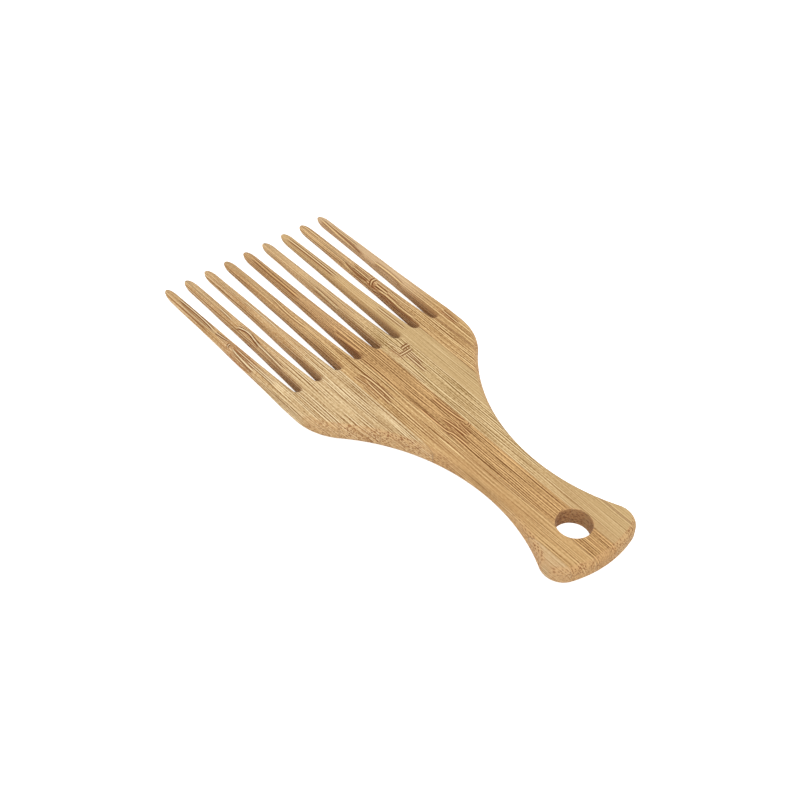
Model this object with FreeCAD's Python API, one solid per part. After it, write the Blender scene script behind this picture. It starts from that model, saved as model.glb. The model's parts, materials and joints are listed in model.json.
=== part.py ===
import FreeCAD, Part
import math
import os

# Afro pick cut from a flat board of bamboo strips that are glued edge to edge.
# Each strip carries one tooth, and a thin film of glue joins it to the next strip.
# The waist cuts two strips through and the hanging hole cuts the middle one, so each of those
# three goes on in a second piece at the end of the handle.
#
# Frame: the origin is under the middle of the pick's box, +Y runs to the tooth tips and +Z up.
# Left and right are those of someone who looks down with the teeth pointing away.

# Board
BOARD_THICKNESS = 6.4
GLUE_THICKNESS = 0.1

# Handle and head, seen from above
HANDLE_LENGTH = 105.9          # slot roots to the end of the handle
END_WIDTH = 33.9               # widest place of the handle, across its two corners
END_ARC_RADIUS = 39.0          # the crowned end of the handle
CORNER_RADIUS = 6.8            # between the crowned end and the hollow sides
WAIST_WIDTH = 19.0             # narrowest place of the handle
WAIST_FROM_ROOTS = 66.3        # slot roots to the waist
SHOULDER_RADIUS = 20.1         # where the head turns into the neck
SHOULDER_FROM_ROOTS = 6.9      # straight side between the shoulder and the slot roots
EDGE_RADIUS = 2.05             # all long edges are sanded round

# Hanging hole
HOLE_RADIUS = 5.5
HOLE_FROM_END = 14.15          # hole's middle to the end of the handle
RIM_RADIUS = 0.35              # sanding on the rims of the hole

# Teeth, at their root, halfway and where the nose starts
TOOTH_COUNT = 9
TOOTH_PITCH = 8.0
TOOTH_LENGTH = 63.9            # slot roots to the tips
ROOT_WIDTH = 5.57
MIDDLE_WIDTH = 3.9
TIP_WIDTH = 3.3
OUTER_ROOT_WIDTH = 5.1         # the first and last teeth are a little narrower
OUTER_MIDDLE_WIDTH = 3.7
OUTER_TIP_WIDTH = 2.9
MIDDLE_THICKNESS = 4.55
TIP_THICKNESS = 3.2
MIDDLE_HEIGHT = 3.02           # underside of the pick up to the core of a tooth
TIP_HEIGHT = 2.83
OVAL_FROM_ROOTS = 40.0         # from here on the section of a tooth is an oval
OVAL_SHARE = 0.94              # corner radius of that oval, as a share of its half thickness
NOSE_LENGTH = 4.75             # rounded end of a tooth

# Where each glue line meets its slot, from -1 at the slot's left wall to 1 at its right wall
GLUE_LINE_SHARES = (-0.30, -0.40, -0.74, -0.74, -0.49, 0.49, -0.16, -0.66)

# Evenly spaced sections that shape a tooth
SHAFT_STEPS = 4
NOSE_STEPS = 6

OVERRUN = 3.0                  # cutting bodies run past the surface by this much

UP = FreeCAD.Vector(0, 0, 1)
ROOTS_Y = (HANDLE_LENGTH - TOOTH_LENGTH) / 2
END_Y = ROOTS_Y - HANDLE_LENGTH
SLOT_HALF_WIDTH = (TOOTH_PITCH - ROOT_WIDTH) / 2
FIRST_TOOTH_X = -(TOOTH_COUNT - 1) / 2 * TOOTH_PITCH
HEAD_HALF_WIDTH = -FIRST_TOOTH_X - ROOT_WIDTH / 2 + OUTER_ROOT_WIDTH
BOX_HALF_WIDTH = max(HEAD_HALF_WIDTH, END_WIDTH / 2) + OVERRUN


def towards(centre, aim, radius):
    """Point at a distance of radius from centre, on the line to aim."""
    return centre + (aim - centre).normalize() * radius


def mirrored(point):
    """The same point on the left side of the pick."""
    return FreeCAD.Vector(-point.x, point.y, point.z)


def tangent_radius(centre, radius, waist):
    """Radius of the hollow arc that leaves the waist along Y and meets a round corner smoothly."""
    across = waist.x - centre.x
    along = waist.y - centre.y
    return (across ** 2 + along ** 2 - radius ** 2) / (2 * (radius - across))


def right_side():
    """Arcs of the right side from the handle's end to the shoulder, each as start, middle and end."""
    waist = FreeCAD.Vector(WAIST_WIDTH / 2, ROOTS_Y - WAIST_FROM_ROOTS, 0)
    end_centre = FreeCAD.Vector(0, END_Y + END_ARC_RADIUS, 0)
    corner_x = END_WIDTH / 2 - CORNER_RADIUS
    corner_drop = math.sqrt((END_ARC_RADIUS - CORNER_RADIUS) ** 2 - corner_x ** 2)
    corner = FreeCAD.Vector(corner_x, end_centre.y - corner_drop, 0)
    shoulder = FreeCAD.Vector(HEAD_HALF_WIDTH - SHOULDER_RADIUS, ROOTS_Y - SHOULDER_FROM_ROOTS, 0)
    flare_radius = tangent_radius(corner, CORNER_RADIUS, waist)
    neck_radius = tangent_radius(shoulder, SHOULDER_RADIUS, waist)
    flare = FreeCAD.Vector(waist.x + flare_radius, waist.y, 0)
    neck = FreeCAD.Vector(waist.x + neck_radius, waist.y, 0)

    corner_start = towards(end_centre, corner, END_ARC_RADIUS)
    corner_end = towards(corner, flare, CORNER_RADIUS)
    neck_end = towards(neck, shoulder, neck_radius)
    side_start = FreeCAD.Vector(HEAD_HALF_WIDTH, shoulder.y, 0)
    arcs = []
    for centre, radius, start, end in (
        (corner, CORNER_RADIUS, corner_start, corner_end),
        (flare, flare_radius, corner_end, waist),
        (neck, neck_radius, waist, neck_end),
        (shoulder, SHOULDER_RADIUS, neck_end, side_start),
    ):
        arcs.append((start, towards(centre, (start + end) / 2, radius), end))
    return arcs


def slot_x(index):
    """Middle of a slot, counted from the left."""
    return FIRST_TOOTH_X + (index + 1 / 2) * TOOTH_PITCH


def body_outline():
    """Wire round the handle and head, with the round roots of the slots and a short stub of each tooth."""
    arcs = right_side()
    stub_y = ROOTS_Y + OVERRUN
    edges = [Part.Arc(mirrored(arcs[0][0]), FreeCAD.Vector(0, END_Y, 0), arcs[0][0]).toShape()]
    for start, middle, end in arcs:
        edges.append(Part.Arc(start, middle, end).toShape())
    corners = [arcs[-1][2], FreeCAD.Vector(HEAD_HALF_WIDTH, stub_y, 0)]
    for index in reversed(range(TOOTH_COUNT - 1)):
        right, left = slot_x(index) + SLOT_HALF_WIDTH, slot_x(index) - SLOT_HALF_WIDTH
        corners += [FreeCAD.Vector(right, stub_y, 0), FreeCAD.Vector(right, ROOTS_Y, 0)]
        edges += [Part.LineSegment(a, b).toShape() for a, b in zip(corners, corners[1:])]
        bottom = FreeCAD.Vector(slot_x(index), ROOTS_Y - SLOT_HALF_WIDTH, 0)
        root_end = FreeCAD.Vector(left, ROOTS_Y, 0)
        edges.append(Part.Arc(corners[-1], bottom, root_end).toShape())
        corners = [root_end, FreeCAD.Vector(left, stub_y, 0)]
    corners += [FreeCAD.Vector(-HEAD_HALF_WIDTH, stub_y, 0), mirrored(arcs[-1][2])]
    edges += [Part.LineSegment(a, b).toShape() for a, b in zip(corners, corners[1:])]
    for start, middle, end in reversed(arcs):
        edges.append(Part.Arc(mirrored(end), mirrored(middle), mirrored(start)).toShape())
    return Part.Wire(edges)


def is_sanded(edge):
    """Whether an edge runs along the top or underside of the plate, and isn't the cut end of a stub."""
    box = edge.BoundBox
    return box.ZLength < BOARD_THICKNESS / 2 and box.YMin < ROOTS_Y + OVERRUN / 2


def body():
    """Handle and head in one, with sanded edges and the hanging hole, up to the roots of the teeth."""
    plate = Part.Face(body_outline()).extrude(UP * BOARD_THICKNESS)
    plate = plate.makeFillet(EDGE_RADIUS, [e for e in plate.Edges if is_sanded(e)])

    hole_at = FreeCAD.Vector(0, END_Y + HOLE_FROM_END, -OVERRUN)
    hole = Part.makeCylinder(HOLE_RADIUS, BOARD_THICKNESS + 2 * OVERRUN, hole_at, UP)
    plate = plate.cut(hole)
    rims = [e for e in plate.Edges if isinstance(e.Curve, Part.Circle) and e.isClosed()]
    plate = plate.makeFillet(RIM_RADIUS, rims)

    corner = FreeCAD.Vector(-BOX_HALF_WIDTH, ROOTS_Y, -OVERRUN)
    stubs = Part.makeBox(2 * BOX_HALF_WIDTH, 2 * OVERRUN, BOARD_THICKNESS + 2 * OVERRUN, corner)
    return plate.cut(stubs)


def through_three(root, middle, tip, share):
    """Smooth value along a tooth that is root at share 0, middle at one half and tip at 1."""
    return (root * (1 - share) * (1 - 2 * share)
            + middle * 4 * share * (1 - share)
            + tip * share * (2 * share - 1))


def section(centre, half_width, half_thickness, radius):
    """Rounded rectangle across a tooth, as four sides and four corner arcs."""
    diagonal = radius / math.sqrt(2)
    flat_x, flat_z = half_width - radius, half_thickness - radius
    points = []
    for side_x, side_z in ((1, 1), (-1, 1), (-1, -1), (1, -1)):
        upright = (side_x * half_width, side_z * flat_z)
        round_middle = (side_x * (flat_x + diagonal), side_z * (flat_z + diagonal))
        level = (side_x * flat_x, side_z * half_thickness)
        corner = [upright, round_middle, level]
        points.append(corner if side_x == side_z else corner[::-1])
    corners = [[centre + FreeCAD.Vector(x, 0, z) for x, z in corner] for corner in points]
    edges = []
    for corner, following in zip(corners, corners[1:] + corners[:1]):
        edges.append(Part.Arc(*corner).toShape())
        edges.append(Part.LineSegment(corner[2], following[0]).toShape())
    return Part.Wire(edges)


def tooth_section(index, along, shrink):
    """Wire across a tooth at a distance from its root, shrunk about its core, and the core's own place."""
    share = along / TOOTH_LENGTH
    width = through_three(ROOT_WIDTH, MIDDLE_WIDTH, TIP_WIDTH, share)
    middle_x = FIRST_TOOTH_X + index * TOOTH_PITCH
    if index in (0, TOOTH_COUNT - 1):
        inner_width = width
        width = through_three(OUTER_ROOT_WIDTH, OUTER_MIDDLE_WIDTH, OUTER_TIP_WIDTH, share)
        middle_x += math.copysign(1, middle_x) * (width - inner_width) / 2
    thickness = through_three(BOARD_THICKNESS, MIDDLE_THICKNESS, TIP_THICKNESS, share)
    height = through_three(BOARD_THICKNESS / 2, MIDDLE_HEIGHT, TIP_HEIGHT, share)
    oval = OVAL_SHARE * min(width, thickness) / 2
    nearness = max(1 - along / OVAL_FROM_ROOTS, 0)
    radius = oval + (EDGE_RADIUS - oval) * nearness ** 2
    core = FreeCAD.Vector(middle_x, ROOTS_Y + along, height)
    return section(core, shrink * width / 2, shrink * thickness / 2, shrink * radius), core


def tooth(index):
    """Shaft and nose of a tapered tooth: sanded edges at its root, an oval further on and a round end."""
    shaft_length = TOOTH_LENGTH - NOSE_LENGTH
    stations = [shaft_length * step / SHAFT_STEPS for step in range(SHAFT_STEPS + 1)]
    shaft = Part.makeLoft([tooth_section(index, along, 1)[0] for along in stations], True)
    rings = []
    for step in range(NOSE_STEPS):
        angle = math.pi / 2 * step / NOSE_STEPS
        along = shaft_length + NOSE_LENGTH * math.sin(angle)
        rings.append(tooth_section(index, along, math.cos(angle))[0])
    tip = tooth_section(index, TOOTH_LENGTH, 1)[1]
    return [shaft, Part.makeLoft(rings + [Part.Vertex(tip)], True)]


def slab(left, right):
    """Upright block between two X values that holds the whole pick."""
    corner = FreeCAD.Vector(left, END_Y - OVERRUN, -OVERRUN)
    length = HANDLE_LENGTH + TOOTH_LENGTH + 2 * OVERRUN
    return Part.makeBox(right - left, length, BOARD_THICKNESS + 2 * OVERRUN, corner)


def head_and_ends(blank, left, right):
    """Solids of the blank between two X values: the one in the head, and those that lie beyond a cut."""
    solids = blank.common(slab(left, right)).Solids
    solids.sort(key=lambda solid: -solid.BoundBox.YMax)
    return solids[0], solids[1:]


def write(name, shape):
    """Write one piece and print its size."""
    shape.exportStep(f"parts/{name}.step")
    box = shape.BoundBox
    print(f"{name}: {box.XLength:.2f} x {box.YLength:.2f} x {box.ZLength:.2f} mm, "
          f"{shape.Volume:.2f} mm3, valid {shape.isValid()}, {len(shape.Faces)} faces")


def main():
    """Cut the body and the glue lines into strips, put each tooth on its strip and write every piece."""
    os.makedirs("parts", exist_ok=True)
    blank = body()
    joints = []
    for index in range(TOOTH_COUNT - 1):
        share = GLUE_LINE_SHARES[index % len(GLUE_LINE_SHARES)]
        joints.append(slot_x(index) + share * SLOT_HALF_WIDTH)
    half_glue = GLUE_THICKNESS / 2
    lefts = [-BOX_HALF_WIDTH] + [x + half_glue for x in joints]
    rights = [x - half_glue for x in joints] + [BOX_HALF_WIDTH]

    for index, (left, right) in enumerate(zip(lefts, rights)):
        head, ends = head_and_ends(blank, left, right)
        write(f"bamboo_strip_{index + 1}", head.fuse(tooth(index)))
        if ends:
            write(f"bamboo_strip_{index + 1}_handle_end", Part.makeCompound(ends))

    for index, x in enumerate(joints):
        head, ends = head_and_ends(blank, x - half_glue, x + half_glue)
        write(f"glue_line_{index + 1}", head)
        if ends:
            write(f"glue_line_{index + 1}_handle_end", Part.makeCompound(ends))


main()
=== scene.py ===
"""Afro pick laid up from bamboo strips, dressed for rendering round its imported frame.

Lengths are in millimetres until a mesh is filled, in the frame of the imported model: the origin is under
the middle of the pick, +Y runs to the tooth tips and +Z up.
"""

import json
import logging
import math
from dataclasses import dataclass, field
from enum import Enum
from functools import reduce

import bmesh
import bpy
import numpy as np
from mathutils import Matrix, Vector

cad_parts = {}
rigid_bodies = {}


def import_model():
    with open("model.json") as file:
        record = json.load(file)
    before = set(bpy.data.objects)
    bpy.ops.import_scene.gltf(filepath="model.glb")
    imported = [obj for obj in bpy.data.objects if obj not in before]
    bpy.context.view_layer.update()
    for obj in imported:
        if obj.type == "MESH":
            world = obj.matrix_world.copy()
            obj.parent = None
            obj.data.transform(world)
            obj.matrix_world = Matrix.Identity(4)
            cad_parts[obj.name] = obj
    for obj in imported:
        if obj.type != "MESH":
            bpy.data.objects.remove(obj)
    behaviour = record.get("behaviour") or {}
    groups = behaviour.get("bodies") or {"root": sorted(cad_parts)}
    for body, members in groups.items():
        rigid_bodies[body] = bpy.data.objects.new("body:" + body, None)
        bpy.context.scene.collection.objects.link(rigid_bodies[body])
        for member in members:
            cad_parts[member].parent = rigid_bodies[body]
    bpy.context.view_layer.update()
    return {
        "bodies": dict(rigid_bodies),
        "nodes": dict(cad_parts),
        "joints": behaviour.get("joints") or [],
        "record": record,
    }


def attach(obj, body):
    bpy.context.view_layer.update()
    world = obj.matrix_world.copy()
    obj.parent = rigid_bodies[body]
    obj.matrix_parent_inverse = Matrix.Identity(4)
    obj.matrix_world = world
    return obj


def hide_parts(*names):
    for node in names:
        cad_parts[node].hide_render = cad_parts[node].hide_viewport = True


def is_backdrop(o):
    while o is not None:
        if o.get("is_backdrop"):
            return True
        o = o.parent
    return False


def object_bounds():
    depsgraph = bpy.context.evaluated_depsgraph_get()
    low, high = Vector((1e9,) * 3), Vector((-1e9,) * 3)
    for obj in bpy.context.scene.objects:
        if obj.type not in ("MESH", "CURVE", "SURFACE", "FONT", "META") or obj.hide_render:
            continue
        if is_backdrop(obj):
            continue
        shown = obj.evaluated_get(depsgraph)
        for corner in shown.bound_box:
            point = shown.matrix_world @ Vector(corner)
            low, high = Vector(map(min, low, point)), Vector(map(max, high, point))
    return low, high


MM = 0.001
TINY = 1e-9

log = logging.getLogger("afro_pick")

Colour = tuple[float, float, float]
Socket = bpy.types.NodeSocket
Value = Socket | float


def linear(colour: Colour) -> Colour:
    """Turn a colour as seen, 0 to 255, into scene-linear values: straight near black, then a power of 2.4."""
    shares = [channel / 255 for channel in colour]
    return tuple(s / 12.92 if s <= 0.04045 else ((s + 0.055) / 1.055) ** 2.4 for s in shares)


def smooth_step(value: np.ndarray, low: float, high: float) -> np.ndarray:
    """Rise from 0 at low to 1 at high with level ends, 3t² - 2t³."""
    share = np.clip((value - low) / (high - low), 0, 1)
    return share * share * (3 - 2 * share)


def add_object(name: str, data: bpy.types.ID, matrix: Matrix | None = None) -> bpy.types.Object:
    """Add an object to the scene, and turn it into place if it has a matrix.

    Args:
        name: Name of the object.
        data: Its mesh, camera or light.
        matrix: Its place and turn, or nothing for the origin.

    Returns:
        The new object.
    """
    added = bpy.data.objects.new(name, data)
    if matrix:
        added.matrix_world = matrix
    bpy.context.scene.collection.objects.link(added)
    return added


@dataclass(frozen=True)
class OutlineArc:
    """One arc of the board's right side, seen from above.

    bulge is 1 where the arc is round outwards and -1 where it is hollow.
    """

    centre_x: float
    centre_y: float
    radius: float
    bulge: int
    low_y: float
    high_y: float

    def half_width(self, y: np.ndarray) -> np.ndarray:
        """Half the board's width on this arc: centre, plus or minus the chord's half height at y."""
        rise = np.maximum(self.radius ** 2 - (y - self.centre_y) ** 2, 0)
        return self.centre_x + self.bulge * np.sqrt(rise)

    def depth(self, x: np.ndarray, y: np.ndarray) -> np.ndarray:
        """How far points lie inside the arc: the radius less the reach from its centre.

        Args:
            x: Distance of the points from the board's middle line.
            y: Place of the points along the board.

        Returns:
            The depth, or infinity where the nearest point of the circle isn't on the arc.
        """
        across, along = x - self.centre_x, y - self.centre_y
        reach = np.maximum(np.hypot(across, along), TINY)
        foot_y = self.centre_y + self.radius * along / reach
        slack = 1e-6
        on_arc = (foot_y >= self.low_y - slack) & (foot_y <= self.high_y + slack)
        return np.where(on_arc & (across * self.bulge >= 0), self.bulge * (self.radius - reach), np.inf)


@dataclass
class Board:
    """The glued board that the pick is cut from, with its outline, slots and hanging hole."""

    thickness: float = 6.4
    glue: float = 0.1
    handle_length: float = 105.9
    end_width: float = 33.9
    end_arc_radius: float = 39.0
    corner_radius: float = 6.8
    waist_width: float = 19.0
    waist_from_roots: float = 66.3
    shoulder_radius: float = 20.1
    shoulder_from_roots: float = 6.9
    edge_radius: float = 2.05
    hole_radius: float = 5.5
    hole_from_end: float = 14.15
    rim_radius: float = 0.35
    tooth_count: int = 9
    tooth_pitch: float = 8.0
    tooth_length: float = 63.9
    root_width: float = 5.57
    outer_root_width: float = 5.1
    glue_line_shares: tuple[float, ...] = (-0.30, -0.40, -0.74, -0.74, -0.49, 0.49, -0.16, -0.66)
    arcs: list[OutlineArc] = field(init=False)

    def __post_init__(self) -> None:
        """Work out the places that follow from the sizes, and the arcs of the outline."""
        self.roots_y = (self.handle_length - self.tooth_length) / 2
        self.end_y = self.roots_y - self.handle_length
        self.hole_y = self.end_y + self.hole_from_end
        self.slot_half_width = (self.tooth_pitch - self.root_width) / 2
        self.first_tooth_x = -(self.tooth_count - 1) / 2 * self.tooth_pitch
        self.head_half_width = -self.first_tooth_x - self.root_width / 2 + self.outer_root_width
        self.arcs = self._outline_arcs()

    def _outline_arcs(self) -> list[OutlineArc]:
        """Chain the tangent arcs of one side, from the handle's end to the shoulder.

        Returns:
            The crown of the end, its corner, the flare, the neck and the shoulder.
        """
        waist_x, waist_y = self.waist_width / 2, self.roots_y - self.waist_from_roots
        end_y = self.end_y + self.end_arc_radius
        corner_x = self.end_width / 2 - self.corner_radius
        corner_y = end_y - math.sqrt((self.end_arc_radius - self.corner_radius) ** 2 - corner_x ** 2)
        shoulder_x = self.head_half_width - self.shoulder_radius
        shoulder_y = self.roots_y - self.shoulder_from_roots

        def hollow(x: float, y: float, radius: float) -> tuple[float, float, float]:
            """Hollow arc from the waist to a round corner, with centres apart by the sum of their radii.

            Args:
                x: Centre of the round corner, across the board.
                y: Centre of the round corner, along it.
                radius: Radius of the round corner.

            Returns:
                The hollow arc's centre across the board, its radius, and where it meets the corner.
            """
            across, along = waist_x - x, waist_y - y
            size = (across ** 2 + along ** 2 - radius ** 2) / (2 * (radius - across))
            centre_x = waist_x + size
            meets_y = y + (waist_y - y) * radius / math.hypot(centre_x - x, waist_y - y)
            return centre_x, size, meets_y

        flare_x, flare_radius, corner_end = hollow(corner_x, corner_y, self.corner_radius)
        neck_x, neck_radius, neck_end = hollow(shoulder_x, shoulder_y, self.shoulder_radius)
        stretch = self.end_arc_radius / math.hypot(corner_x, corner_y - end_y)
        corner_start = end_y + (corner_y - end_y) * stretch
        return [
            OutlineArc(0.0, end_y, self.end_arc_radius, 1, self.end_y, corner_start),
            OutlineArc(corner_x, corner_y, self.corner_radius, 1, corner_start, corner_end),
            OutlineArc(flare_x, waist_y, flare_radius, -1, corner_end, waist_y),
            OutlineArc(neck_x, waist_y, neck_radius, -1, waist_y, neck_end),
            OutlineArc(shoulder_x, shoulder_y, self.shoulder_radius, 1, neck_end, shoulder_y),
        ]

    def slot_x(self, index: int) -> float:
        """Middle of a slot, counted from the left."""
        return self.first_tooth_x + (index + 0.5) * self.tooth_pitch

    def joint_x(self, index: int) -> float:
        """Place of a glue line, which leaves the head inside its slot."""
        return self.slot_x(index) + self.glue_line_shares[index] * self.slot_half_width

    def half_width(self, y: np.ndarray) -> np.ndarray:
        """Half the board's width at y, arc by arc, and straight from the shoulder on.

        Args:
            y: Places along the board.

        Returns:
            Half the width at each place, and 0 below the handle's end.
        """
        width = np.full(np.shape(y), self.head_half_width)
        for arc in self.arcs:
            width = np.where((y >= arc.low_y) & (y < arc.high_y), arc.half_width(y), width)
        return np.where(y <= self.end_y, 0.0, width)

    def _rounded(self, depth: np.ndarray, radius: float) -> np.ndarray:
        """Half the thickness at a depth behind an edge: a quarter circle, then the flat."""
        run = radius - np.clip(depth, 0, radius)
        return self.thickness / 2 - radius + np.sqrt(radius ** 2 - run ** 2)

    def half_thickness(self, x: np.ndarray, y: np.ndarray) -> np.ndarray:
        """Half the thickness of the head and handle at points of the plan.

        Each edge takes away its own rounding, by the depth of the point behind it, and the thinnest holds.

        Args:
            x: Places across the board.
            y: Places along the board, up to the slot roots.

        Returns:
            Half the thickness at each point.
        """
        depth = np.where(y >= self.arcs[-1].high_y, self.head_half_width - np.abs(x), np.inf)
        for arc in self.arcs:
            depth = np.minimum(depth, arc.depth(np.abs(x), y))
        for index in range(self.tooth_count - 1):
            reach = np.hypot(x - self.slot_x(index), y - self.roots_y)
            depth = np.minimum(depth, reach - self.slot_half_width)
        hole = np.hypot(x, y - self.hole_y) - self.hole_radius
        return np.minimum(self._rounded(depth, self.edge_radius), self._rounded(hole, self.rim_radius))


@dataclass
class Teeth:
    """The nine tapered teeth, with the small unevenness of sanding by hand.

    Past even_until the width loses unevenness times one plus a beating sine over wave_length, and the middle
    sways by a slower sine, in full from uneven_from on. Each tooth is out of step with the next.
    """

    board: Board
    middle_width: float = 3.9
    tip_width: float = 3.3
    outer_middle_width: float = 3.7
    outer_tip_width: float = 2.9
    middle_thickness: float = 4.55
    tip_thickness: float = 3.2
    middle_height: float = 3.02
    tip_height: float = 2.83
    oval_from_roots: float = 40.0
    oval_share: float = 0.94
    nose_length: float = 4.75
    unevenness: float = 0.07
    wave_length: float = 19.0
    wave_step: float = 2.4
    beat_rate: float = 0.37
    sway_rate: float = 0.6
    sway_step: float = 1.7
    sway_share: float = 0.5
    even_until: float = 4.0
    uneven_from: float = 16.0

    @staticmethod
    def _through(root: float, middle: float, tip: float, share: np.ndarray) -> np.ndarray:
        """Parabola along a tooth that is root at share 0, middle at one half and tip at 1."""
        rest = 1 - share
        return root * rest * (1 - 2 * share) + middle * 4 * share * rest + tip * share * (2 * share - 1)

    def surface(self, index: int, along: np.ndarray, spread: np.ndarray) -> tuple[np.ndarray, np.ndarray]:
        """Upper and lower skin of one tooth.

        A section is a rounded rectangle whose width, thickness, height and corner radius follow parabolas
        along the tooth. The nose shrinks it about its core by the cosine of an angle whose sine is the way
        into the nose.

        Args:
            index: Which tooth, from the left.
            along: Distances of the sections from the roots.
            spread: Places across a section, from -1 at its left wall to 1 at its right wall.

        Returns:
            Points of the upper and of the lower skin, each of sections by places by three.
        """
        board = self.board
        share = along / board.tooth_length
        width = self._through(board.root_width, self.middle_width, self.tip_width, share)
        middle_x = np.full_like(share, board.first_tooth_x + index * board.tooth_pitch)
        if index in (0, board.tooth_count - 1):
            inner = width
            widths = board.outer_root_width, self.outer_middle_width, self.outer_tip_width
            width = self._through(*widths, share)
            middle_x = middle_x + np.sign(middle_x) * (width - inner) / 2
        thickness = self._through(board.thickness, self.middle_thickness, self.tip_thickness, share)
        height = self._through(board.thickness / 2, self.middle_height, self.tip_height, share)
        oval = self.oval_share * np.minimum(width, thickness) / 2
        nearness = np.maximum(1 - along / self.oval_from_roots, 0)
        radius = oval + (board.edge_radius - oval) * nearness ** 2

        turn = 2 * np.pi * along / self.wave_length + index * self.wave_step
        fade = smooth_step(along, self.even_until, self.uneven_from) * self.unevenness
        width = width - fade * (1 + np.sin(turn) * np.cos(self.beat_rate * turn + index))
        sway = np.sin(self.sway_rate * turn + self.sway_step * index)
        middle_x = middle_x + fade * sway * self.sway_share

        into_nose = np.clip((along - board.tooth_length + self.nose_length) / self.nose_length, 0, 1)
        shrink = np.sqrt(1 - into_nose ** 2)[:, None]
        half_width, radius = width[:, None] / 2, radius[:, None]
        run = radius - np.clip(half_width * (1 - np.abs(spread)), 0, radius)
        rise = (thickness[:, None] / 2 - radius + np.sqrt(radius ** 2 - run ** 2)) * shrink
        x = middle_x[:, None] + half_width * spread * shrink
        y = np.broadcast_to(board.roots_y + along[:, None], x.shape)
        height = height[:, None]
        return np.stack([x, y, height + rise], 2), np.stack([x, y, height - rise], 2)


class Shell:
    """Closed skin put together from grids of points that share their borders."""

    WALL_ROWS = 4
    WELD_DISTANCE = 3e-7
    SHARP_FROM = math.radians(35.0)

    def __init__(self) -> None:
        """Start with no grids."""
        self.points: list[np.ndarray] = []
        self.quads: list[np.ndarray] = []
        self.count = 0

    def add(self, grid: np.ndarray) -> None:
        """Add one grid of points, of rows by columns by three, and a quad for each of its cells.

        Args:
            grid: The points.
        """
        rows, columns = grid.shape[:2]
        numbers = self.count + np.arange(rows * columns).reshape(rows, columns)
        corners = (numbers[:-1, :-1], numbers[:-1, 1:], numbers[1:, 1:], numbers[1:, :-1])
        self.points.append(grid.reshape(-1, 3))
        self.quads.append(np.stack([c.ravel() for c in corners], 1))
        self.count += rows * columns

    def wall(self, upper: np.ndarray, lower: np.ndarray) -> None:
        """Add the wall between two borders: rows of points on straight lines from the lower to the upper."""
        share = np.linspace(0, 1, self.WALL_ROWS)[:, None, None]
        self.add(lower * (1 - share) + upper * share)

    def sleeve(self, upper: np.ndarray, lower: np.ndarray) -> None:
        """Add an upper and a lower skin, and the walls between their first and their last columns.

        Args:
            upper: Points of the upper skin.
            lower: Points of the lower skin.
        """
        self.add(upper)
        self.add(lower)
        self.wall(upper[:, 0], lower[:, 0])
        self.wall(upper[:, -1], lower[:, -1])

    def piece(self, name: str) -> bpy.types.Object:
        """Weld the grids into one mesh object whose faces point outwards.

        Args:
            name: Name of the object.

        Returns:
            The new object, at the origin, with its place in its mesh.
        """
        mesh = bpy.data.meshes.new(name)
        mesh.from_pydata(np.concatenate(self.points) * MM, [], np.concatenate(self.quads).tolist())
        work = bmesh.new()
        work.from_mesh(mesh)
        bmesh.ops.remove_doubles(work, verts=work.verts, dist=self.WELD_DISTANCE)
        bmesh.ops.recalc_face_normals(work, faces=work.faces)
        work.to_mesh(mesh)
        work.free()
        mesh.polygons.foreach_set("use_smooth", np.ones(len(mesh.polygons), bool))
        mesh.set_sharp_from_angle(angle=self.SHARP_FROM)
        return add_object(name, mesh)


@dataclass(frozen=True)
class Knot:
    """A node of the bamboo: the place where it stains the strip and curls its fibres, and its reach."""

    x: float
    y: float
    half_x: float
    half_y: float
    curl: float
    stain: float


@dataclass(frozen=True)
class Strand:
    """A pale raised fibre with dark rims: the places that it runs through, in order.

    It runs along the pick, with its places in order of Y, or across the grain in order of X. core and rim
    are the strength of its pale middle and of its rims.
    """

    places: tuple[tuple[float, float], ...]
    half_width: float = 0.18
    across: bool = False
    core: float = 1.0
    rim: float = 1.0


class Tone(Enum):
    """Natural colours of the strips: pale fibre, body and dark fibre, by material slot."""

    PALE = ("bamboo_pale", (246, 222, 178), (211, 179, 131), (134, 91, 39))
    STRAW = ("bamboo_straw", (242, 208, 152), (201, 161, 107), (125, 81, 28))
    OLIVE = ("bamboo_olive", (240, 212, 162), (203, 171, 120), (133, 97, 43))
    HONEY = ("bamboo_honey", (236, 192, 132), (192, 150, 97), (116, 72, 22))

    def __init__(self, slot: str, pale: Colour, body: Colour, dark: Colour) -> None:
        """Keep the slot's name and the three colours."""
        self.slot = slot
        self.pale, self.body, self.dark = pale, body, dark


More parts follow.
